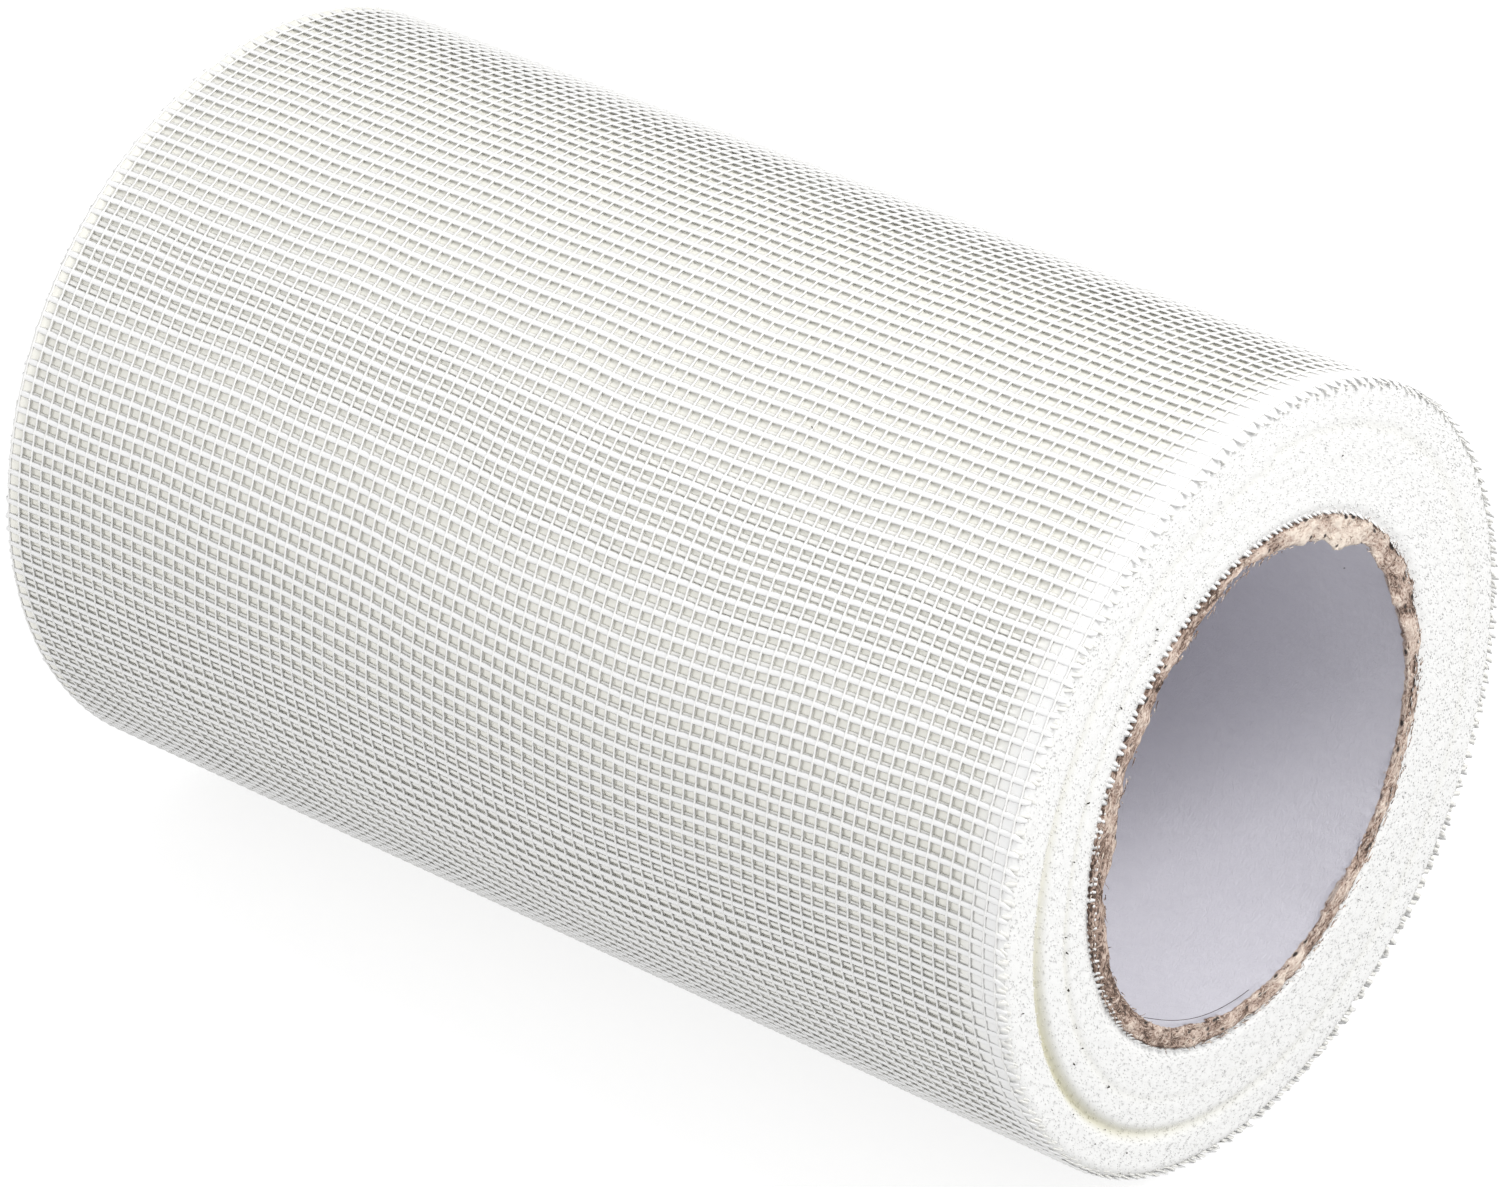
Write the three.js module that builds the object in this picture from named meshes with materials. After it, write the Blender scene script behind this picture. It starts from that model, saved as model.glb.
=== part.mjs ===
// A roll of fibreglass mesh: one long web of white scrim wound tight on a paper core, lying on its side.
// Millimetres, +Z up. The roll's axis runs along X, and the origin is on the ground under the roll's middle.
import * as THREE from "three";

// Wound web
const rollDiameter = 125;
const webWidth = 196; // from the cut weft ends on one side to those on the other
const edgeRounding = 2; // how far the outermost turns draw in at each end

// Paper core
const coreBore = 77;
const coreWall = 3;
const coreRecess = 0.3; // how far each end of the core lies inside the web's cut edge
const windingClearance = 0.3; // between the core and the first turn

// Turns that show on the ends, as rings between bands of tight turns
const turnBand = 2.5;
const ringWidth = 0.9;
const ringDepth = 0.35;
const slackRings = [2, 5]; // counted outwards from the core, where the tension changed and the turns parted
const slackDepth = 1.2;

// Faceting of the turned shapes
const facets = 72;
const roundingSteps = 3;

const rollRadius = rollDiameter / 2;
const coreRadius = coreBore / 2 + coreWall;
const windingRadius = coreRadius + windingClearance;
const halfWidth = webWidth / 2;

// Revolves a closed profile of [radius, position along the axis] pairs about the roll's axis. The facets are
// tangent to the true circles, and one facet faces down, so the roll lies flat on the ground at its real height.
function turned(profile) {
  const points = [...profile, profile[0]].map(([radius, along]) => new THREE.Vector2(radius, along));
  const halfFacet = Math.PI / facets;
  const geometry = new THREE.LatheGeometry(points, facets, halfFacet, 2 * Math.PI);
  const facetReach = 1 / Math.cos(halfFacet);
  geometry.scale(facetReach, 1, facetReach);
  geometry.rotateZ(-Math.PI / 2);
  return geometry;
}

// One V-shaped ring, as [radius, position] pairs from the inside out, in the end that lies at +halfWidth.
function ring(radius, depth) {
  return [
    [radius - ringWidth / 2, halfWidth],
    [radius, halfWidth - depth],
    [radius + ringWidth / 2, halfWidth],
  ];
}

// The end of the winding that lies at +halfWidth, from the bore out to the start of the outer surface.
function windingEnd() {
  const shoulder = rollRadius - edgeRounding;
  const profile = [[windingRadius, halfWidth]];
  for (let count = 1; windingRadius + count * turnBand + ringWidth < shoulder; count++) {
    const depth = slackRings.includes(count) ? slackDepth : ringDepth;
    profile.push(...ring(windingRadius + count * turnBand, depth));
  }
  for (let step = 0; step <= roundingSteps; step++) {
    const angle = (step / roundingSteps) * (Math.PI / 2);
    profile.push([
      shoulder + edgeRounding * Math.sin(angle),
      halfWidth - edgeRounding * (1 - Math.cos(angle)),
    ]);
  }
  return profile;
}

function piece(name, geometry, material) {
  const mesh = new THREE.Mesh(geometry, new THREE.MeshStandardMaterial(material));
  mesh.name = name;
  return mesh;
}

// The wound mesh is one turned solid: both ends carry the same rings.
function woundMesh() {
  const end = windingEnd();
  const otherEnd = end.map(([radius, along]) => [radius, -along]);
  const geometry = turned([...otherEnd, ...end.reverse()]);
  return piece("mesh_web", geometry, { color: 0xf1f1ec, roughness: 0.8, metalness: 0 });
}

// The paper core is a plain tube with sawn ends.
function paperCore() {
  const halfLength = halfWidth - coreRecess;
  const boreRadius = coreBore / 2;
  const geometry = turned([
    [boreRadius, -halfLength],
    [coreRadius, -halfLength],
    [coreRadius, halfLength],
    [boreRadius, halfLength],
  ]);
  return piece("paper_core", geometry, { color: 0xb79c82, roughness: 0.9, metalness: 0 });
}

const roll = new THREE.Group();
roll.add(woundMesh(), paperCore());
roll.position.z = rollRadius;

export default roll;
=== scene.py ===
import math
import bpy
import numpy as np
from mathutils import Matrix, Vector


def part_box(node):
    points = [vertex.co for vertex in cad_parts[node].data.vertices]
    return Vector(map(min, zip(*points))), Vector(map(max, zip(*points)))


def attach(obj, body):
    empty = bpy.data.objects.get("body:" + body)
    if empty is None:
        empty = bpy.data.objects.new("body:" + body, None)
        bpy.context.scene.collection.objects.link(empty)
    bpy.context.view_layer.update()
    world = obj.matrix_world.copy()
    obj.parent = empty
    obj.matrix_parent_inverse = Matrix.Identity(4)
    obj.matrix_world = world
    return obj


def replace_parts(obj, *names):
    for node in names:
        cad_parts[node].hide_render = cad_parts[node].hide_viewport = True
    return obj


# The looks of a roll of fibreglass mesh: the yarns of its outer turns, the cut weft ends that stand out of
# both sides of the winding, and the torn paper core. Metres, +Z up, the roll's axis along X.
# A fault that is left: the faces of wound_turns, warp_yarns, warp_yarns_under, hair, most of
# core_fibres_near, and some of core_fibres_far and specks point inwards. They need their corners reversed.

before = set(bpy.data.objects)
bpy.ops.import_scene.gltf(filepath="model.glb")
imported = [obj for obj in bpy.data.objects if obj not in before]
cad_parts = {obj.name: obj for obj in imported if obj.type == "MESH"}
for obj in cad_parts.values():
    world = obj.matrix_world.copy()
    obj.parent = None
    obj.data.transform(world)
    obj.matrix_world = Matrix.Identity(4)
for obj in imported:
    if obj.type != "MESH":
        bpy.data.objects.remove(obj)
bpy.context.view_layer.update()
MM = 0.001
TURN = 2 * math.pi

# Sizes that the frame gives
WEB_LOW, WEB_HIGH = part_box("mesh_web")
CORE_LOW, CORE_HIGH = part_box("paper_core")
ROLL_RADIUS = (WEB_HIGH.z - WEB_LOW.z) / 2
AXIS_HEIGHT = (WEB_HIGH.z + WEB_LOW.z) / 2
HALF_WIDTH = WEB_HIGH.x
CORE_RADIUS = (CORE_HIGH.z - CORE_LOW.z) / 2
CORE_END = CORE_HIGH.x
CORE_BORE_RADIUS = 38.5 * MM

# The web: warp yarns run round the roll, weft yarns lie across it
WARP_COUNT = 89
WARP_PITCH = 2.184 * MM
WARP_HALF_WIDTH = 0.26 * MM
WARP_HALF_HEIGHT = 0.11 * MM
WEFT_HALF_WIDTH = 0.54 * MM
WEFT_HALF_HEIGHT = 0.11 * MM
ROWS_IN_FIRST_TURN = 153.68  # weft yarns
TURN_STEP = 0.343 * MM  # from one turn to the next, an assumed thickness of the web
WINDING_RADIUS = CORE_RADIUS + 0.3 * MM  # clear of the core, as in the CAD
CENTRE_DEPTH = 0.25 * MM  # from the outside of a turn to the middle of its web
TAIL_ANGLE = math.radians(240)  # where the web's loose end lies, under the back of the roll
BACK_ROWS = 60  # weft rows of the outermost turn that make up the back piece, from the loose end on
FAR_TIPS_SHORT = np.array([1.2, 0.0])  # mm that the weft tips are cut shorter, far side then near
TIP_SPREAD = 0.35  # mm between the shortest and the longest weft tip of a side
OPEN_TURNS = 3  # turns whose yarns are all modelled, from the outside in

LAST_WARP = (WARP_COUNT - 1) / 2 * WARP_PITCH
CENTRE_RADIUS = ROLL_RADIUS - CENTRE_DEPTH
WEFT_PITCH = TURN * CENTRE_RADIUS / ROWS_IN_FIRST_TURN

# The turns below those, as one ring, and its plush ends
PACK_RADIUS = ROLL_RADIUS - 0.95 * MM
PACK_SHOULDER = ROLL_RADIUS - 0.45 * MM  # where the ring comes up under the last warps at each end
SHOULDER_WIDTH = 9.0 * MM  # at the near end
FAR_SHOULDER_WIDTH = 2.0 * MM
PACK_END = HALF_WIDTH - 0.6 * MM
END_ROUNDING = 1.8 * MM
OUTER_GAP = 0.852  # where the turns have parted, as shares of the roll's radius
INNER_GAP = 0.742
OUTER_GAP_DEPTH = 1.3 * MM
INNER_GAP_DEPTH = 0.5 * MM
CORE_DIP = 0.45 * MM  # how far the first turns lie deeper beside the core


def wound_angle(length):
    """The angle that the web has turned at a length from its loose end. The radius falls by one turn step
    a turn, so the length is radius * angle - step * angle squared / (2 * turn), solved for the angle."""
    under_root = CENTRE_RADIUS**2 - 2 * TURN_STEP * length / TURN
    return (CENTRE_RADIUS - np.sqrt(under_root)) * TURN / TURN_STEP


def turn_radius(turned):
    """The outside of the turn at a wound angle: the roll's radius less one step for each full turn."""
    return ROLL_RADIUS - TURN_STEP * turned / TURN


def hump(value, middle, width):
    """A smooth bell: one in the middle, near nothing two widths away."""
    return np.exp(-(((value - middle) / width) ** 2))


def angle_hump(angle, degrees, width):
    """The same bell round the roll, with the angle taken the short way round from its middle."""
    away = (angle - math.radians(degrees) + math.pi) % TURN - math.pi
    return np.exp(-((away / math.radians(width)) ** 2))


def row_sway(angle, along):
    """How far a weft row strays round the roll: one smooth bell across the width and round the angle."""
    share = (along + HALF_WIDTH) / (2 * HALF_WIDTH)
    bow = hump(share, 0.6, 0.22) * angle_hump(angle, 82, 45)
    ripple = 0.0016 * np.sin(31 * share + 5 * angle) + 0.0012 * np.sin(57 * share - 9 * angle + 1)
    return math.radians(4) * bow + ripple


def row_slip(angle, along):
    """The extra shift of each turn's rows against the turn above, as a share of a row: a bell along the band
    where the rows of the second turn fill the openings of the first, and a second one lower down."""
    share = (along + HALF_WIDTH) / (2 * HALF_WIDTH)
    band = math.radians(46) + math.radians(7) * share**2
    upper = hump(angle, band, math.radians(9))
    return -0.3 * upper - 0.38 * angle_hump(angle, 104, 13)


def place(along, radius, angle):
    """Points of the roll, from the distance along the axis, the radius and the angle from the top."""
    along, radius, angle = np.broadcast_arrays(along, radius, angle)
    return np.stack([along, -radius * np.sin(angle), AXIS_HEIGHT + radius * np.cos(angle)], -1)


def outward(angle):
    """The unit vector out of the roll at each angle."""
    return np.stack([0 * angle, -np.sin(angle), np.cos(angle)], -1)


def onward(angle):
    """The unit vector round the roll at each angle, the way that the angle grows."""
    return np.stack([0 * angle, -np.cos(angle), -np.sin(angle)], -1)


AXIS = np.array([1.0, 0.0, 0.0])
RIDGE = np.array([(-1, -1), (1, -1), (0, 1)], float)
TAPE = np.array([(-1, -0.6), (1, -0.6), (0.55, 1), (-0.55, 1)], float)


def strands(centre, across, out, half_width, half_height, section):
    """A closed strand along each row of centre points: each corner (a, b) of the section is carried along
    it, at centre + a * half width * across + b * half height * out, and a flat cap closes each end. The faces
    point outwards where the cross product of across and out runs along the strand, not back."""
    rows, steps = centre.shape[:2]
    width = np.broadcast_to(half_width, (rows, steps))[..., None, None]
    height = np.broadcast_to(half_height, (rows, steps))[..., None, None]
    across = np.broadcast_to(across, centre.shape)[:, :, None]
    out = np.broadcast_to(out, centre.shape)[:, :, None]
    a, b = section[:, :1], section[:, 1:]
    points = centre[:, :, None] + a * width * across + b * height * out
    index = np.arange(rows * steps * len(section)).reshape(rows, steps, len(section))
    here, ahead = index[:, :-1], index[:, 1:]
    sides = np.stack([here, np.roll(here, -1, 2), np.roll(ahead, -1, 2), ahead], -1)
    caps = np.concatenate([index[:, 0, ::-1], index[:, -1]])
    return points.reshape(-1, 3), [sides.reshape(-1, 4), caps]


def ring_surface(points):
    """A surface closed both ways, from a grid of points: the rows go round the roll, the columns round the
    section. The faces point outwards where the columns go down the far end and up the near one."""
    rows, columns = points.shape[:2]
    index = np.arange(rows * columns).reshape(rows, columns)
    ahead = np.roll(index, -1, 0)
    sides = np.stack([index, np.roll(index, -1, 1), np.roll(ahead, -1, 1), ahead], -1)
    return points.reshape(-1, 3), [sides.reshape(-1, 4)]


def both_sides(near, far):
    """The columns of a closed section: the far side's, and then the near side's backwards."""
    return np.concatenate([far, near[:, ::-1]], 1)


def joined(parts):
    """Several (points, faces) made into one."""
    points, faces, start = [], [], 0
    for part_points, part_faces in parts:
        points.append(part_points)
        faces += [block + start for block in part_faces]
        start += len(part_points)
    return np.concatenate(points), faces


def soft_noise(chance, rows, columns, passes):
    """Random heights on a grid that closes on itself by rows, averaged with their neighbours both ways as
    many times as there are passes, and brought back to a spread of one."""
    values = chance.normal(0, 1, (rows, columns))
    for _ in range(passes):
        values = (np.roll(values, 1, 0) + 2 * values + np.roll(values, -1, 0)) / 4
        padded = np.pad(values, ((0, 0), (1, 1)), mode="edge")
        values = (padded[:, :-2] + 2 * values + padded[:, 2:]) / 4
    return values / values.std()


def add_piece(name, shape, material, tone=None):
    """Puts (points, faces) into a smooth-shaded mesh of its own that rides on the roll. Tone is one number
    a point, for the material to read."""
    points, faces = shape
    mesh = bpy.data.meshes.new(name)
    corners = np.concatenate([block.ravel() for block in faces])
    sizes = np.concatenate([np.full(len(block), block.shape[1]) for block in faces])
    mesh.vertices.add(len(points))
    mesh.vertices.foreach_set("co", points.astype(np.float32).ravel())
    mesh.loops.add(len(corners))
    mesh.loops.foreach_set("vertex_index", corners.astype(np.int32))
    mesh.polygons.add(len(sizes))
    mesh.polygons.foreach_set("loop_start", (np.cumsum(sizes) - sizes).astype(np.int32))
    mesh.polygons.foreach_set("use_smooth", np.ones(len(sizes), bool))
    mesh.update(calc_edges=True)
    if tone is not None:
        mesh.attributes.new("tone", "FLOAT", "POINT").data.foreach_set("value", tone.astype(np.float32))
    mesh.materials.append(material)
    piece = bpy.data.objects.new(name, mesh)
    bpy.context.scene.collection.objects.link(piece)
    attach(piece, "root")
    return piece


# Materials


def node(tree, kind, inputs=None, **settings):
    """Adds a node of that kind, with its settings, and sets or links its inputs."""
    made = tree.nodes.new(kind)
    for name, value in settings.items():
        setattr(made, name, value)
    for key, value in (inputs or {}).items():
        if isinstance(value, bpy.types.NodeSocket):
            tree.links.new(value, made.inputs[key])
        else:
            made.inputs[key].default_value = value
    return made


def calculated(tree, operation, first, second=0.0):
    return node(tree, "ShaderNodeMath", {0: first, 1: second}, operation=operation).outputs[0]


def mixed(tree, amount, first, second):
    """A colour between the first (amount 0) and the second (amount 1)."""
    return node(tree, "ShaderNodeMix", {0: amount, 6: first, 7: second}, data_type="RGBA").outputs[2]


def rising(tree, value, low, high):
    """A mask that rises smoothly from 0 at low to 1 at high."""
    made = node(tree, "ShaderNodeMapRange", {0: value, 1: low, 2: high}, interpolation_type="SMOOTHSTEP")
    return made.outputs[0]


def new_group(name, inputs, outputs):
    """An empty shader group with its named inputs (name, kind, value) and outputs (name, kind)."""
    tree = bpy.data.node_groups.new(name, "ShaderNodeTree")
    for socket, kind, value in inputs:
        tree.interface.new_socket(socket, in_out="INPUT", socket_type=kind).default_value = value
    for socket, kind in outputs:
        tree.interface.new_socket(socket, in_out="OUTPUT", socket_type=kind)
    return tree, tree.nodes.new("NodeGroupInput"), tree.nodes.new("NodeGroupOutput")


def unrolled_group():
    """Places on the roll as if the web were rolled out: along the axis, out from it, and round it."""
    kinds = [("Place", "NodeSocketVector"), ("Along", "NodeSocketFloat"), ("Radius", "NodeSocketFloat"),
             ("Angle", "NodeSocketFloat")]
    tree, _, given = new_group("unrolled place", [], kinds)
    at = node(tree, "ShaderNodeSeparateXYZ", {0: node(tree, "ShaderNodeTexCoord").outputs["Object"]})
    side = calculated(tree, "MULTIPLY", at.outputs[1], -1.0)
    rise = calculated(tree, "SUBTRACT", at.outputs[2], AXIS_HEIGHT)
    angle = calculated(tree, "ARCTAN2", side, rise)
    squares = calculated(tree, "MULTIPLY", side, side), calculated(tree, "MULTIPLY", rise, rise)
    radius = calculated(tree, "SQRT", calculated(tree, "ADD", *squares))
    arc = calculated(tree, "MULTIPLY", angle, ROLL_RADIUS)
    rolled_out = node(tree, "ShaderNodeCombineXYZ", {0: at.outputs[0], 1: radius, 2: arc})
    tree.links.new(rolled_out.outputs[0], given.inputs["Place"])
    tree.links.new(at.outputs[0], given.inputs["Along"])
    tree.links.new(radius, given.inputs["Radius"])
    tree.links.new(angle, given.inputs["Angle"])
    return tree


def streaks_group():
    """Fine streaks of parallel filaments, as noise that is stretched along the yarn, and broad patches."""
    given_in = [("Place", "NodeSocketVector", (0, 0, 0)), ("Stretch", "NodeSocketVector", (1, 1, 1))]
    kinds = [("Streak", "NodeSocketFloat"), ("Patch", "NodeSocketFloat")]
    tree, taken, given = new_group("filament streaks", given_in, kinds)
    stretched = node(tree, "ShaderNodeVectorMath",
                     {0: taken.outputs["Place"], 1: taken.outputs["Stretch"]}, operation="MULTIPLY")
    fine = node(tree, "ShaderNodeTexNoise", {"Vector": stretched.outputs[0], "Scale": 1.0, "Detail": 2.0})
    broad = node(tree, "ShaderNodeTexNoise",
                 {"Vector": taken.outputs["Place"], "Scale": 55.0, "Detail": 2.0})
    tree.links.new(fine.outputs["Fac"], given.inputs["Streak"])
    tree.links.new(broad.outputs["Fac"], given.inputs["Patch"])
    return tree


def fibre_group():
    """Matted paper fibre: short light and dark fibres, and a few darker flecks."""
    given_in = [("Place", "NodeSocketVector", (0, 0, 0)), ("Size", "NodeSocketFloat", 1000.0)]
    kinds = [("Fibre", "NodeSocketFloat"), ("Fleck", "NodeSocketFloat")]
    tree, taken, given = new_group("paper fibre", given_in, kinds)
    matted = node(tree, "ShaderNodeTexNoise",
                  {"Vector": taken.outputs["Place"], "Scale": taken.outputs["Size"], "Detail": 5.0,
                   "Roughness": 0.7, "Distortion": 1.6})
    coarse = calculated(tree, "MULTIPLY", taken.outputs["Size"], 0.6)
    cells = node(tree, "ShaderNodeTexVoronoi", {"Vector": taken.outputs["Place"], "Scale": coarse})
    near = rising(tree, cells.outputs["Distance"], 0.34, 0.16)
    pick = node(tree, "ShaderNodeSeparateColor", {0: cells.outputs["Color"]})
    rare = rising(tree, pick.outputs[0], 0.72, 0.8)
    tree.links.new(matted.outputs["Fac"], given.inputs["Fibre"])
    tree.links.new(calculated(tree, "MULTIPLY", near, rare), given.inputs["Fleck"])
    return tree


UNROLLED = unrolled_group()
STREAKS = streaks_group()
FIBRE = fibre_group()
ALONG_AXIS = (220.0, 9000.0, 9000.0)
ROUND_AXIS = (9000.0, 9000.0, 220.0)
TORN_FIBRE = 1300.0
YARN_ROUGHNESS = 0.5


def new_material(name, roughness):
    """A material, its node tree and its Principled shader."""
    material = bpy.data.materials.new(name)
    material.use_nodes = True
    tree = material.node_tree
    shader = tree.nodes["Principled BSDF"]
    shader.inputs["Roughness"].default_value = roughness
    return material, tree, shader


def unrolled(tree):
    return node(tree, "ShaderNodeGroup", node_tree=UNROLLED)


def effect(tree, group, inputs):
    """Places a shared effect and gives it its own values."""
    return node(tree, "ShaderNodeGroup", inputs, node_tree=group).outputs


def bumped(tree, shader, height, distance, strength):
    made = node(tree, "ShaderNodeBump", {"Height": height, "Distance": distance, "Strength": strength})
    tree.links.new(made.outputs[0], shader.inputs["Normal"])


def tone_of(tree):
    return node(tree, "ShaderNodeAttribute", attribute_name="tone").outputs["Fac"]


def yarn_material(name, pale, dull, stretch):
    """Coated glass yarn: its colour goes from pale to dull with the strand's tone, broad patches and the
    streaks of its filaments, which also catch the light as fine grooves."""
    material, tree, shader = new_material(name, YARN_ROUGHNESS)
    at = unrolled(tree).outputs
    streaks = effect(tree, STREAKS, {"Place": at["Place"], "Stretch": stretch})
    patches = calculated(tree, "MULTIPLY", streaks["Patch"], 0.45)
    lines = calculated(tree, "MULTIPLY", streaks["Streak"], 0.35)
    amount = calculated(tree, "ADD", tone_of(tree), calculated(tree, "ADD", patches, lines))
    tree.links.new(mixed(tree, rising(tree, amount, 0.1, 1.3), pale, dull), shader.inputs["Base Color"])
    bumped(tree, shader, streaks["Streak"], 0.05 * MM, 0.6)
    return material


def pack_material():
    """The deeper turns: yellow-grey where they show through the openings, white at both ends, more slowly
    so at the near one, and a darker dull yellow where the tone says that turns have parted: painted shade in
    the gap between them."""
    material, tree, shader = new_material("deeper turns", 0.7)
    at = unrolled(tree).outputs
    streaks = effect(tree, STREAKS, {"Place": at["Place"], "Stretch": ALONG_AXIS})
    deep = mixed(tree, streaks["Patch"], (0.80, 0.79, 0.725, 1), (0.85, 0.84, 0.785, 1))
    near_end = rising(tree, at["Along"], PACK_END - 11 * MM, PACK_END - 1.5 * MM)
    far_end = rising(tree, at["Along"], -PACK_END + 1.2 * MM, -PACK_END + 0.3 * MM)
    pale = mixed(tree, calculated(tree, "MAXIMUM", near_end, far_end), deep, (0.79, 0.79, 0.785, 1))
    # Painted shade: where turns have parted, the tone darkens the colour to dull yellow, as shade in the gap.
    colour = mixed(tree, tone_of(tree), pale, (0.50, 0.47, 0.27, 1))
    tree.links.new(colour, shader.inputs["Base Color"])
    bumped(tree, shader, streaks["Streak"], 0.1 * MM, 0.5)
    return material


def cut_end_material():
    """Cut and frayed weft ends: soft white, and a darker dull yellow, as painted shade, where the tone says
    that turns have parted.
    """
    material, tree, shader = new_material("cut weft ends", 0.75)
    at = unrolled(tree).outputs
    streaks = effect(tree, STREAKS, {"Place": at["Place"], "Stretch": ALONG_AXIS})
    white = mixed(tree, streaks["Streak"], (0.75, 0.75, 0.745, 1), (0.72, 0.72, 0.715, 1))
    # Painted shade: dull dark yellow in the gaps where turns have parted.
    colour = mixed(tree, tone_of(tree), white, (0.62, 0.59, 0.38, 1))
    tree.links.new(colour, shader.inputs["Base Color"])
    return material


def paper_colour(tree, fibre, tone):
    """Raw paper pulp from dark brown through pinkish brown to beige, by fibre and tone, with dark flecks."""
    amount = calculated(tree, "ADD", fibre["Fibre"], calculated(tree, "MULTIPLY", tone, 0.4))
    ramp = node(tree, "ShaderNodeValToRGB", {0: amount})
    stops = ramp.color_ramp.elements
    stops[0].position, stops[0].color = 0.42, (0.05, 0.033, 0.026, 1)
    stops[1].position, stops[1].color = 0.77, (0.76, 0.67, 0.58, 1)
    for position, colour in ((0.50, (0.21, 0.135, 0.10, 1)), (0.60, (0.49, 0.375, 0.315, 1))):
        stops.new(position).color = colour
    return mixed(tree, fibre["Fleck"], ramp.outputs[0], (0.05, 0.04, 0.035, 1))


def core_material():
    """The paper tube: pale violet-grey lining inside, torn brown fibre at both ends, darker at the rim."""
    material, tree, shader = new_material("paper core", 0.85)
    at = unrolled(tree).outputs
    from_end = calculated(tree, "SUBTRACT", CORE_END, calculated(tree, "ABSOLUTE", at["Along"]))
    mottle = effect(tree, FIBRE, {"Place": at["Place"], "Size": 260.0})
    along_ply = node(tree, "ShaderNodeVectorMath", {0: at["Place"], 1: (1.0, 1.0, 0.35)},
                     operation="MULTIPLY")
    torn = effect(tree, FIBRE, {"Place": along_ply.outputs[0], "Size": TORN_FIBRE})
    lining = mixed(tree, mottle["Fibre"], (0.60, 0.59, 0.65, 1), (0.71, 0.70, 0.75, 1))
    rim = rising(tree, at["Radius"], CORE_RADIUS - 0.45 * MM, CORE_RADIUS - 0.15 * MM)
    tone = calculated(tree, "SUBTRACT", tone_of(tree), calculated(tree, "MULTIPLY", rim, 0.18))
    pulp = paper_colour(tree, torn, tone)
    edge = calculated(tree, "ADD", 0.3 * MM, calculated(tree, "MULTIPLY", torn["Fibre"], 0.9 * MM))
    inside = rising(tree, calculated(tree, "SUBTRACT", from_end, edge), 0.0, 0.15 * MM)
    bare = rising(tree, at["Radius"], CORE_BORE_RADIUS - 0.35 * MM, CORE_BORE_RADIUS - 0.2 * MM)
    lined = calculated(tree, "MULTIPLY", inside, bare)
    tree.links.new(mixed(tree, lined, pulp, lining), shader.inputs["Base Color"])
    bumped(tree, shader, torn["Fibre"], 0.3 * MM, 0.5)
    return material


def paper_fibre_material():
    """Loose paper fibres in the same browns as the torn ends."""
    material, tree, shader = new_material("loose paper fibre", 0.85)
    at = unrolled(tree).outputs
    torn = effect(tree, FIBRE, {"Place": at["Place"], "Size": TORN_FIBRE})
    tree.links.new(paper_colour(tree, torn, tone_of(tree)), shader.inputs["Base Color"])
    return material


def dark_material(name, dark, light):
    """A dark speck or hair, mottled a little."""
    material, tree, shader = new_material(name, 0.6)
    at = unrolled(tree).outputs
    mottle = effect(tree, FIBRE, {"Place": at["Place"], "Size": 2500.0})
    tree.links.new(mixed(tree, mottle["Fibre"], dark, light), shader.inputs["Base Color"])
    return material


# The outer turns


def warp_places():
    """Where each warp yarn lies along the axis."""
    return (np.arange(WARP_COUNT) - (WARP_COUNT - 1) / 2) * WARP_PITCH


def outer_warps():
    """The warp yarns of the outermost turn. Each has a point over every weft and one between, and it dips
    into the web between the wefts. It sways a little, each in its own way."""
    chance = np.random.default_rng(11)
    halves = np.arange(0, 2 * ROWS_IN_FIRST_TURN - 0.5)
    lengths = np.concatenate([[-0.42], halves / 2]) * WEFT_PITCH
    over = np.concatenate([[0.6], (halves % 2 == 0).astype(float)])
    turned = wound_angle(lengths)
    along = warp_places()[:, None]
    angle = TAIL_ANGLE - turned[None] + 0 * along
    angle = angle + row_sway(angle, along)
    phase = chance.uniform(0, TURN, (WARP_COUNT, 3))
    sway = sum(np.sin((k + 2) * angle + phase[:, k:k + 1]) for k in range(3)) * 0.035 * MM
    zigzag = np.where(np.arange(angle.shape[1]) % 4 < 2, 1, -1) * 0.03 * MM
    depth = WARP_HALF_HEIGHT + (1 - over) * 0.13 * MM
    radius = turn_radius(turned) - depth + 0 * along
    width = WARP_HALF_WIDTH * (0.86 + 0.2 * over) * chance.uniform(0.93, 1.07, (WARP_COUNT, 1))
    shape = strands(place(along + sway + zigzag, radius, angle), AXIS, outward(angle), width,
                    WARP_HALF_HEIGHT, RIDGE)
    tone = np.repeat(chance.uniform(0, 0.35, WARP_COUNT), angle.shape[1] * len(RIDGE))
    return shape, tone


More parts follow.
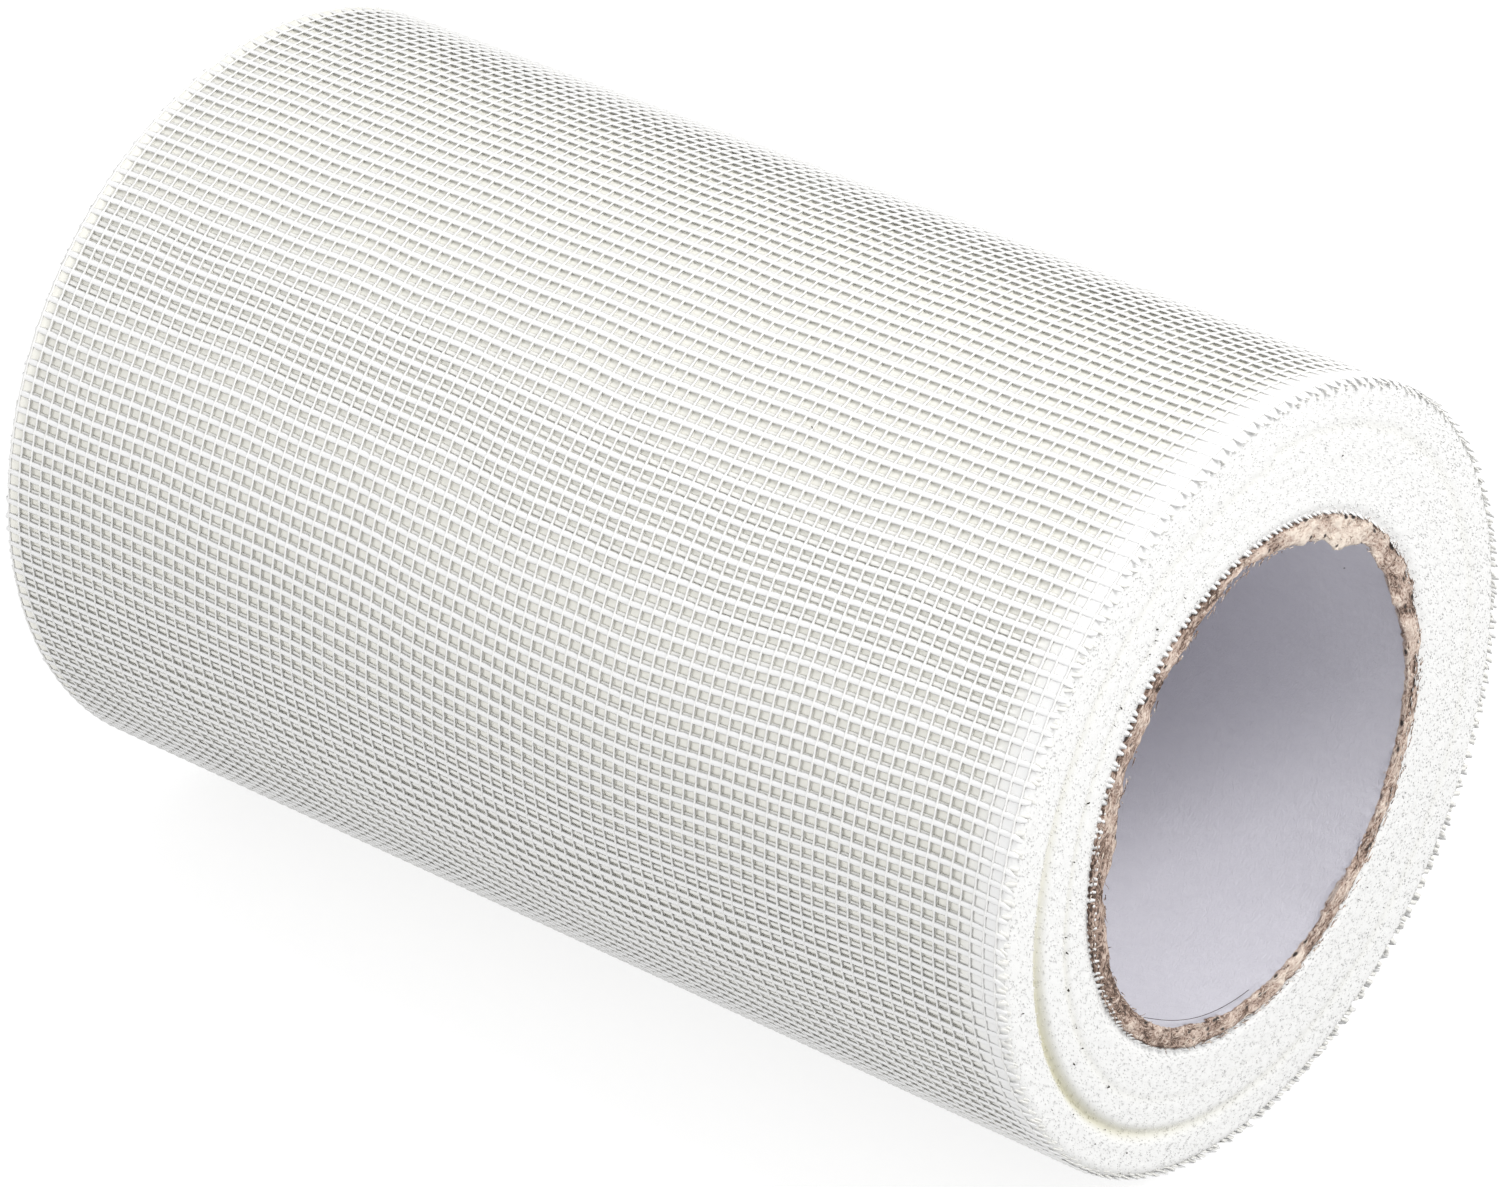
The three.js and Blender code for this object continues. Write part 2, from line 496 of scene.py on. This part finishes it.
def outer_wefts(rows, seed):
    """The weft yarns of some rows of the outermost turn: flat tapes across the web, pinched and pressed down
    under each warp, fuller between. Past the last warp they taper, droop a little and lean."""
    chance = np.random.default_rng(seed)
    count = len(rows)
    turned = wound_angle(rows * WEFT_PITCH)[:, None]
    places = np.linspace(-LAST_WARP, LAST_WARP, 2 * WARP_COUNT - 1)
    under = np.tile((np.arange(len(places)) % 2 == 0).astype(float), (count, 1))
    tip = HALF_WIDTH - (FAR_TIPS_SHORT + chance.uniform(0.0, TIP_SPREAD, (count, 2))) * MM
    knee = LAST_WARP + (tip - LAST_WARP) * 0.5
    across_web = np.tile(places, (count, 1))
    along = np.concatenate([-tip[:, :1], -knee[:, :1], across_web, knee[:, 1:], tip[:, 1:]], 1)
    out_of_web = np.zeros(along.shape)
    out_of_web[:, [0, -1]] = 1.0
    out_of_web[:, [1, -2]] = 0.35
    under = np.pad(under, ((0, 0), (2, 2)))
    angle = TAIL_ANGLE - turned + 0 * along
    angle = angle + row_sway(angle, along)
    lean = chance.normal(0.12, 0.28, (count, 2)) * MM / ROLL_RADIUS
    angle = angle + out_of_web * np.where(along < 0, lean[:, :1], lean[:, 1:])
    angle = angle + chance.normal(0, 0.02 * MM, along.shape) / ROLL_RADIUS
    radius = turn_radius(turned) - 0.22 * MM - under * 0.06 * MM
    radius = radius - out_of_web * chance.uniform(0.0, 0.3, (count, 1)) * MM
    width = WEFT_HALF_WIDTH * (1 - 0.1 * under) * (1 - 0.5 * out_of_web**2)
    height = WEFT_HALF_HEIGHT * (1 - 0.5 * out_of_web)
    shape = strands(place(along, radius, angle), -onward(angle), outward(angle), width, height, TAPE)
    tone = np.repeat(chance.uniform(0, 0.35, count), along.shape[1] * len(TAPE))
    return shape, tone


def under_warps():
    """The warp yarns of the next turns, right under those above: one turn of single yarns, then taller
    ones that stand on the deeper turns."""
    chance = np.random.default_rng(13)
    steps = 61
    parts = []
    for turn in (1, 2):
        turned = TURN * (turn + np.linspace(0, 1, steps))[None]
        along = warp_places()[:, None] + chance.normal(0, 0.05 * MM, (WARP_COUNT, 1))
        angle = TAIL_ANGLE - turned + TURN * turn + 0 * along
        height = (0.02 + 0.15 * turn) * MM
        radius = turn_radius(turned) - 0.12 * MM - height + 0 * along
        parts.append(strands(place(along, radius, angle), AXIS, outward(angle), WARP_HALF_WIDTH, height,
                             RIDGE))
    return joined(parts), np.repeat(chance.uniform(0, 0.5, 2 * WARP_COUNT), steps * len(RIDGE))


def under_wefts():
    """The weft yarns of the next turns, as plain tapes. Their rows follow on along the web, so each turn's
    lie a little further round than those above, and slip more where the web was wound slack."""
    chance = np.random.default_rng(14)
    lengths = np.arange(int(ROWS_IN_FIRST_TURN), OPEN_TURNS * ROWS_IN_FIRST_TURN) * WEFT_PITCH
    turned = wound_angle(lengths)
    turn = np.floor(turned / TURN)
    keep = (turn > 0) & (turn < OPEN_TURNS)
    turned, turn = turned[keep][:, None], turn[keep][:, None]
    count = len(turned)
    reach = HALF_WIDTH - (FAR_TIPS_SHORT + chance.uniform(0.0, TIP_SPREAD, (count, 2))) * MM
    places = np.linspace(-LAST_WARP, LAST_WARP, 14)
    along = np.concatenate([-reach[:, :1], np.tile(places, (count, 1)), reach[:, 1:]], 1)
    end = np.abs(along) > LAST_WARP + 0.1 * MM
    angle = TAIL_ANGLE - turned + TURN * turn + 0 * along
    slip = row_slip(angle, along) * turn * WEFT_PITCH / CENTRE_RADIUS
    angle = angle + row_sway(angle, along) + slip
    angle = angle + end * chance.normal(0, 0.35 * MM, along.shape) / ROLL_RADIUS
    radius = turn_radius(turned) - 0.27 * MM + end * chance.uniform(-0.5, 0.1, along.shape) * MM
    width = WEFT_HALF_WIDTH * np.where(end, 0.7, 0.8)
    shape = strands(place(along, radius, angle), -onward(angle), outward(angle), width, 0.1 * MM, TAPE)
    return shape, np.repeat(chance.uniform(0, 0.5, count), along.shape[1] * len(TAPE))


# The rest of the winding


def parted_turns(radius, angle):
    """How far turns have parted at each place of the ends, from 0 to 1: one ring that is open on the low
    side and drifts outwards as it goes round, and a fainter one nearer the core."""
    angle = angle % TURN
    low_side = angle_hump(angle, 118, 42)
    outer_drift = np.clip((angle - math.radians(85)) / math.radians(60), 0, 1)
    outer_at = ROLL_RADIUS * (OUTER_GAP + 0.028 * outer_drift)
    outer = hump(radius, outer_at, 0.95 * MM) * (0.1 + 0.9 * low_side)
    inner_drift = np.clip((angle - math.radians(80)) / math.radians(60), 0, 1)
    inner_at = ROLL_RADIUS * (INNER_GAP + 0.05 * inner_drift)
    inner = hump(radius, inner_at, 0.6 * MM) * (0.08 + 0.6 * angle_hump(angle, 90, 50))
    return outer, inner


def pack_end(radius):
    """Where the plush surface of an end lies along the axis: flat, and rounded off on the outside as a
    quarter circle."""
    into_edge = np.clip(radius - (PACK_SHOULDER - END_ROUNDING), 0, END_ROUNDING)
    return PACK_END - END_ROUNDING + np.sqrt(END_ROUNDING**2 - into_edge**2)


def core_dip(radius):
    """How far the plush surface sinks beside the core, where its first turns lie deeper: half a bell."""
    return CORE_DIP * hump(radius, WINDING_RADIUS, 0.9 * MM)


def wound_pack():
    """The deeper turns as one ring surface: a section carried round the axis. It comes up under the last
    warps, over a wider shoulder at the near end, turns over a quarter circle into each end, and has noise on
    the ends and rings where turns parted."""
    chance = np.random.default_rng(15)
    rows = 600
    flat = np.linspace(CORE_RADIUS + 0.08 * MM, PACK_SHOULDER - END_ROUNDING, 44)
    bend = np.linspace(0, math.pi / 2, 6)[1:]
    round_radius = PACK_SHOULDER - END_ROUNDING * (1 - np.sin(bend))
    round_along = PACK_END - END_ROUNDING * (1 - np.cos(bend))
    shoulder = np.linspace(0, 1, 5)[1:]
    fall = (PACK_RADIUS - PACK_SHOULDER) * (3 - 2 * shoulder) * shoulder**2
    radii = np.concatenate([flat, round_radius, PACK_SHOULDER + fall])
    end_alongs = np.concatenate([np.full(len(flat), PACK_END), round_along])
    angle = np.linspace(0, TURN, rows, endpoint=False)[:, None]
    sides = []
    for side, width in ((1, SHOULDER_WIDTH), (-1, FAR_SHOULDER_WIDTH)):
        alongs = np.concatenate([end_alongs, PACK_END - END_ROUNDING - width * shoulder])
        radius = np.tile(radii, (rows, 1))
        on_end = np.clip((PACK_SHOULDER - radius) / (1.2 * MM), 0, 1) * (np.arange(len(radii)) > 0)
        on_end = on_end * (np.arange(len(radii)) < len(flat) + len(bend))
        lumps = soft_noise(chance, rows, len(radii), 1) * 0.03 * MM
        outer, inner = parted_turns(radius, angle)
        along = (alongs - outer * OUTER_GAP_DEPTH - inner * INNER_GAP_DEPTH + lumps * on_end
                 - core_dip(radius))
        # The tone here is painted shade: it darkens the ends to dull yellow in the gaps where turns have
        # parted.
        tone = np.clip(outer * 0.7 + inner * 0.25, 0, 1)
        sides.append((side * along, radius, tone))
    along, radius, tone = (both_sides(near, far) for near, far in zip(*sides))
    return ring_surface(place(along, radius, angle)), tone.ravel()


def cut_ends(side, seed):
    """The cut weft ends of all the deeper turns at one side: for each end two tapered strands that start in
    the plush surface and lean their own way."""
    chance = np.random.default_rng(seed)
    turns = (ROLL_RADIUS - WINDING_RADIUS) / TURN_STEP
    longest = CENTRE_RADIUS * TURN * turns - TURN_STEP * TURN * turns**2 / 2
    first_row = int(OPEN_TURNS * ROWS_IN_FIRST_TURN)
    turned = wound_angle(np.arange(first_row, longest / WEFT_PITCH) * WEFT_PITCH)
    turned = np.repeat(turned[turned < TURN * turns - 0.1], 2)
    radius = turn_radius(turned) - 0.2 * MM
    angle = TAIL_ANGLE - turned
    count = len(radius)
    split = np.tile([-1, 1], count // 2)
    outer, inner = parted_turns(radius, angle)
    surface = pack_end(radius) - outer * OUTER_GAP_DEPTH - inner * INNER_GAP_DEPTH - core_dip(radius)
    start = surface - 0.35 * MM
    reach = np.minimum(surface + chance.uniform(0.0, 0.16, count) * MM, HALF_WIDTH)
    along = np.stack([start, reach], 1)
    lean = (chance.normal(0, 0.16, count) + 0.14 * split - 0.5 * outer) * MM / radius
    lift = chance.normal(0, 0.12, count) * MM
    angles = angle[:, None] + split[:, None] * 0.22 * MM / radius[:, None]
    angles = angles + np.stack([0 * lean, lean], 1)
    radii = np.stack([radius, radius + lift], 1)
    width = np.array([0.36, 0.18]) * MM * chance.uniform(0.8, 1.2, (count, 1))
    height = np.array([0.13, 0.06]) * MM
    shape = strands(place(side * along, radii, angles), -side * onward(angles), outward(angles), width,
                    height, RIDGE)
    # The tone is painted shade in the gaps where turns have parted, with a little random tone of the ends.
    tone = np.clip(outer * 0.7 + inner * 0.2 + chance.normal(0, 0.03, count), 0, 1)
    return shape, np.repeat(tone, 2 * len(RIDGE))


def inner_teeth(side, seed):
    """The weft ends of the innermost turn at one side: each is split in two pointed strands, which lie along
    the outside of the core and bend in over its edge, by the share of the way to the power of 1.5. They bend
    in most all along the right, and less at the left. On the low left the two stand apart, and on the right
    they are spread so wide that they close up."""
    chance = np.random.default_rng(seed)
    count = int(TURN * WINDING_RADIUS / WEFT_PITCH)
    angle = np.repeat(np.arange(count) / count * TURN, 2)
    apart = 0.36 + 0.14 * angle_hump(angle, 105, 40)
    angle = angle + (np.tile([0, 1], count) * apart + chance.normal(0, 0.04, 2 * count)) * TURN / count
    spread = angle_hump(angle, 240, 70)
    bend = 0.2 + 1.2 * angle_hump(angle, 95, 36) + 2.0 * angle_hump(angle, 250, 58)
    bend = bend * chance.uniform(0.8, 1.2, 2 * count) * MM
    share = np.array([0, 0.55, 1.0])
    radii = WINDING_RADIUS + 0.3 * MM - share**1.5 * bend[:, None]
    length = 1.9 * MM
    reach = length - chance.uniform(0.1, 0.4, (2 * count, 1)) * MM
    along = HALF_WIDTH - length + share * reach
    angles = angle[:, None] + chance.normal(0.05, 0.1, (2 * count, 1)) * MM / WINDING_RADIUS * share
    width = np.array([0.52, 0.48, 0.2]) * MM * (1 + 0.7 * spread[:, None])
    height = np.array([0.16, 0.13, 0.05]) * MM
    shape = strands(place(side * along, radii, angles), -side * onward(angles), outward(angles), width,
                    height, RIDGE)
    return shape, np.full(2 * count * len(share) * len(RIDGE), 0.04)


# The paper core


def tear(angle):
    """How far torn fibre hangs into the bore round the end: a few broad places, each a bell."""
    places = ((335, 22, 1.2), (298, 16, 1.0), (208, 16, 0.4), (163, 9, 0.6), (68, 26, 1.1),
              (12, 13, -1.3))
    return (0.15 + sum(depth * angle_hump(angle, at, width) for at, width, depth in places)) * MM


def pulp_tone(angle):
    """How pale the torn paper is round the end: beige at the top, a little less so below and at the right,
    and darker at the low left."""
    bells = ((335, 24, 0.42), (255, 30, 0.06), (170, 25, 0.14), (220, 28, 0.1), (60, 25, 0.1),
             (105, 28, -0.1))
    return 0.13 + sum(height * angle_hump(angle, at, width) for at, width, height in bells)


def core_tube():
    """The paper tube as one ring surface: its section goes up the outside, over the torn end, down the bore
    and back over the other end. Noise roughens the ends, and torn fibre thickens their inner edge."""
    chance = np.random.default_rng(31)
    rows = 640
    bore = CORE_BORE_RADIUS
    over = np.linspace(0, 1, 12)
    end_radius = CORE_RADIUS - (CORE_RADIUS - bore) * over
    rounding = 0.3 * MM * np.abs(2 * over - 1) ** 3
    depths = np.array([0.45, 0.95, 1.6, 2.6]) * MM
    section_along = np.concatenate([CORE_END * np.array([0.4, 0.97]), CORE_END - rounding, CORE_END - depths,
                                    CORE_END * np.array([0.85, 0.3])])
    section_radius = np.concatenate([np.full(2, CORE_RADIUS), end_radius, np.full(len(depths) + 2, bore)])
    columns = len(section_along)
    angle = np.linspace(0, TURN, rows, endpoint=False)[:, None]
    sides = []
    for side in (1, -1):
        along = np.tile(section_along, (rows, 1))
        radius = np.tile(section_radius, (rows, 1))
        rough = np.clip((along - (CORE_END - 2.0 * MM)) / (1.2 * MM), 0, 1)
        broad = soft_noise(chance, rows, columns, 12)
        fine = soft_noise(chance, rows, columns, 1)
        dents = soft_noise(chance, rows, 1, 30)
        along = along + rough * np.clip(0.16 * broad + 0.09 * fine - 0.1, -0.6, 0.45) * MM
        inner_share = np.clip((CORE_RADIUS - radius) / (CORE_RADIUS - bore), 0, 1) ** 2
        hang = tear(angle) * np.clip(1 + 0.35 * dents + 0.3 * broad, 0, 2)
        near_end = hump(CORE_END - along, 0.0, 1.3 * MM)
        radius = radius - hang * inner_share * near_end
        radius = radius + rough * (0.07 * fine + 0.06 * broad) * MM * (inner_share + 0.2)
        tone = np.clip(pulp_tone(angle) + 0.12 * broad, 0, 1)
        sides.append((side * along, np.minimum(radius, CORE_RADIUS), tone))
    along, radius, tone = (both_sides(near, far) for near, far in zip(*sides))
    return ring_surface(place(along, radius, angle)), tone.ravel()


def loose_fibres(side, seed):
    """Loose paper fibres on one end of the core: short bent threads that start on the torn end, mostly near
    its edges, and lie along it or stand a little out of it."""
    chance = np.random.default_rng(seed)
    count = 900
    angle = chance.uniform(0, TURN, count)
    edge = chance.uniform(0, 1, count)
    edge = np.where(chance.uniform(0, 1, count) < 0.55, edge**3, 1 - edge**3)
    start = CORE_RADIUS - edge * (CORE_RADIUS - CORE_BORE_RADIUS + 0.7 * tear(angle))
    length = chance.uniform(0.5, 1.7, count) * MM
    turn = chance.normal(0, 0.7, count)
    share = np.array([0, 0.5, 1.0])
    curl = chance.normal(0, 0.4, count)
    heading = turn[:, None] + curl[:, None] * share
    run = share * length[:, None]
    angles = angle[:, None] + run * np.cos(heading) / start[:, None]
    radii = start[:, None] + run * np.sin(heading) * 0.6
    rise = chance.uniform(0.0, 0.22, count) * MM
    along = CORE_END - 0.05 * MM + rise[:, None] * share
    width = np.array([0.07, 0.06, 0.02]) * MM * chance.uniform(0.6, 1.4, (count, 1))
    radii = np.clip(radii, 0, WINDING_RADIUS + 0.4 * MM)
    shape = strands(place(side * along, radii, angles), outward(angles), side * AXIS, width, width, RIDGE)
    tone = np.clip(pulp_tone(angle) + chance.normal(0, 0.3, count), 0, 1)
    return shape, np.repeat(tone, len(share) * len(RIDGE))


# Small marks


def specks():
    """Dark specks: a row of them along the inner parted turn, a few strewn over the near end, and two on the
    outside and in the bore. Each is a short fat strand with a pointed end."""
    chance = np.random.default_rng(41)
    even = np.arange(22, 122, 4.6)
    row = np.radians(even + chance.normal(0, 1.1, len(even)))
    drift = np.clip((row - math.radians(80)) / math.radians(60), 0, 1)
    row_radius = ROLL_RADIUS * (0.743 + 0.05 * drift) + chance.normal(0, 0.2, len(even)) * MM
    strewn = np.radians(np.array([200, 219, 222, 134, 120, 238, 122, 128, 138, 143, 140, 148, 100, 340, 35]))
    strewn_shares = [0.705, 0.716, 0.722, 0.794, 0.822, 0.835, 0.935, 0.90, 0.925, 0.93, 0.885, 0.925, 0.93,
                     0.81, 0.77]
    strewn_radius = ROLL_RADIUS * np.array(strewn_shares)
    angle = np.concatenate([row, strewn])
    radius = np.concatenate([row_radius, strewn_radius])
    outer, inner = parted_turns(radius, angle)
    along = PACK_END + 0.34 * MM - outer * 0.9 * MM - inner * 0.3 * MM
    angle = np.concatenate([angle, np.radians([31.2, 296.4])])
    radius = np.concatenate([radius, [ROLL_RADIUS - 0.25 * MM, CORE_BORE_RADIUS]])
    along = np.concatenate([along, np.array([39.3, 87.8]) * MM])
    size = chance.uniform(0.07, 0.2, len(angle))[:, None] * MM
    heading = chance.uniform(0, TURN, len(angle))[:, None]
    share = np.array([-1.0, -0.3, 0.8])
    radii = radius[:, None] + share * size * np.sin(heading)
    angles = angle[:, None] + share * size * 1.2 * np.cos(heading) / radius[:, None]
    alongs = along[:, None] + share * size * 0.8
    width = size * np.array([0.4, 1.0, 0.3])
    return strands(place(alongs, radii, angles), outward(angles), AXIS, width, width, RIDGE)


def hair():
    """One thin hair across the bottom of the bore, from one torn edge to the other, bowed like a shallow
    arch upside down."""
    share = np.linspace(0, 1, 24)[None]
    angle = math.radians(135.2) + math.radians(46.6) * share
    radius = (37.15 + 1.28 * (1 - share) ** 6 + 0.33 * share) * MM
    along = 96.5 * MM + 0 * share
    return strands(place(along, radius, angle), outward(angle), AXIS, 0.05 * MM, 0.05 * MM, RIDGE)


def build_roll():
    """Makes the materials, and every piece of the roll with its own."""
    warp_yarn = yarn_material("warp yarn", (0.85, 0.847, 0.837, 1), (0.80, 0.797, 0.78, 1), ROUND_AXIS)
    weft_yarn = yarn_material("weft yarn", (0.82, 0.82, 0.82, 1), (0.78, 0.78, 0.775, 1), ALONG_AXIS)
    under_warp = yarn_material("warp yarn under", (0.82, 0.815, 0.77, 1), (0.78, 0.772, 0.72, 1), ROUND_AXIS)
    under_weft = yarn_material("weft yarn under", (0.82, 0.815, 0.785, 1), (0.78, 0.775, 0.745, 1),
                               ALONG_AXIS)
    cut_end = cut_end_material()
    shape, tone = outer_warps()
    add_piece("warp_yarns", shape, warp_yarn, tone)
    rows = np.arange(int(ROWS_IN_FIRST_TURN))
    back, front = rows[:BACK_ROWS], rows[BACK_ROWS:]
    for name, some_rows, seed in (("weft_yarns_back", back, 12), ("weft_yarns_front", front, 16)):
        shape, tone = outer_wefts(some_rows, seed)
        add_piece(name, shape, weft_yarn, tone)
    shape, tone = under_warps()
    add_piece("warp_yarns_under", shape, under_warp, tone)
    shape, tone = under_wefts()
    add_piece("weft_yarns_under", shape, under_weft, tone)
    shape, tone = wound_pack()
    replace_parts(add_piece("wound_turns", shape, pack_material(), tone), "mesh_web")
    for name, side, seed in (("near", 1, 21), ("far", -1, 22)):
        shape, tone = cut_ends(side, seed)
        add_piece("cut_ends_" + name, shape, cut_end, tone)
        shape, tone = inner_teeth(side, seed + 2)
        add_piece("inner_teeth_" + name, shape, weft_yarn, tone)
    shape, tone = core_tube()
    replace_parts(add_piece("core_tube", shape, core_material(), tone), "paper_core")
    paper_fibre = paper_fibre_material()
    for name, side, seed in (("near", 1, 33), ("far", -1, 34)):
        shape, tone = loose_fibres(side, seed)
        add_piece("core_fibres_" + name, shape, paper_fibre, tone)
    speck = dark_material("dark speck", (0.02, 0.018, 0.015, 1), (0.07, 0.06, 0.045, 1))
    add_piece("specks", specks(), speck)
    dark_hair = dark_material("hair", (0.05, 0.04, 0.04, 1), (0.1, 0.08, 0.08, 1))
    add_piece("hair", hair(), dark_hair)


# The camera and the light

VIEW_AZIMUTH = math.radians(39.0)
VIEW_ELEVATION = math.radians(30.93)
VIEW_DISTANCE = 16.772  # in roll radii, as the two shifts are
SHIFT_RIGHT = 0.021
SHIFT_UP = -0.060
LENS = 163.5
SENSOR = 36.0


def add_camera():
    """The photograph's view of the roll: back from its middle along the line of sight."""
    a, e = VIEW_AZIMUTH, VIEW_ELEVATION
    back = Vector((math.sin(a) * math.cos(e), -math.cos(a) * math.cos(e), math.sin(e)))
    right = Vector((math.cos(a), math.sin(a), 0))
    up = back.cross(right)
    data = bpy.data.cameras.new("camera")
    data.lens = LENS
    data.sensor_width = SENSOR
    data.clip_start = 0.01
    data.clip_end = 50
    camera = bpy.data.objects.new("camera", data)
    middle = Vector((0, 0, AXIS_HEIGHT))
    camera.location = middle + ROLL_RADIUS * (SHIFT_RIGHT * right + SHIFT_UP * up + VIEW_DISTANCE * back)
    camera.rotation_mode = "QUATERNION"
    camera.rotation_quaternion = back.to_track_quat("Z", "Y")
    bpy.context.scene.collection.objects.link(camera)
    bpy.context.scene.camera = camera


def add_light(name, place_at, size, power, colour):
    """A soft square lamp that faces the roll."""
    data = bpy.data.lights.new(name, "AREA")
    data.shape = "SQUARE"
    data.size = size
    data.energy = power
    data.color = colour
    lamp = bpy.data.objects.new(name, data)
    lamp.location = place_at
    aim = Vector((0, 0, AXIS_HEIGHT)) - Vector(place_at)
    lamp.rotation_mode = "QUATERNION"
    lamp.rotation_quaternion = aim.to_track_quat("-Z", "Y")
    bpy.context.scene.collection.objects.link(lamp)


def add_studio():
    """A plain white lit table, even light all round, one soft lamp above the near end, and a broad weak one
    at the front."""
    world = bpy.data.worlds.new("studio")
    world.use_nodes = True
    background = world.node_tree.nodes["Background"]
    background.inputs["Color"].default_value = (0.985, 0.99, 1.0, 1)
    background.inputs["Strength"].default_value = 0.81
    bpy.context.scene.world = world
    add_light("lamp", (0.66, 0.08, 0.80), 0.5, 6.5, (1.0, 0.99, 0.97))
    add_light("fill", (-0.35, -1.3, 0.3), 1.0, 6.0, (1.0, 0.99, 0.985))
    mesh = bpy.data.meshes.new("table")
    reach = 8.0
    mesh.from_pydata([(-reach, -reach, 0), (reach, -reach, 0), (reach, reach, 0), (-reach, reach, 0)],
                     [], [(0, 1, 2, 3)])
    material, tree, shader = new_material("lit table", 0.9)
    shader.inputs["Base Color"].default_value = (0.35, 0.35, 0.35, 1)
    shader.inputs["Emission Color"].default_value = (1.0, 1.0, 1.0, 1)
    seen = node(tree, "ShaderNodeLightPath").outputs["Is Camera Ray"]
    glow = node(tree, "ShaderNodeMapRange", {0: seen, 3: 0.38, 4: 0.75})
    tree.links.new(glow.outputs[0], shader.inputs["Emission Strength"])
    mesh.materials.append(material)
    table = bpy.data.objects.new("table", mesh)
    bpy.context.scene.collection.objects.link(table)
    bpy.context.scene.view_settings.view_transform = "Standard"


add_camera()
build_roll()
add_studio()
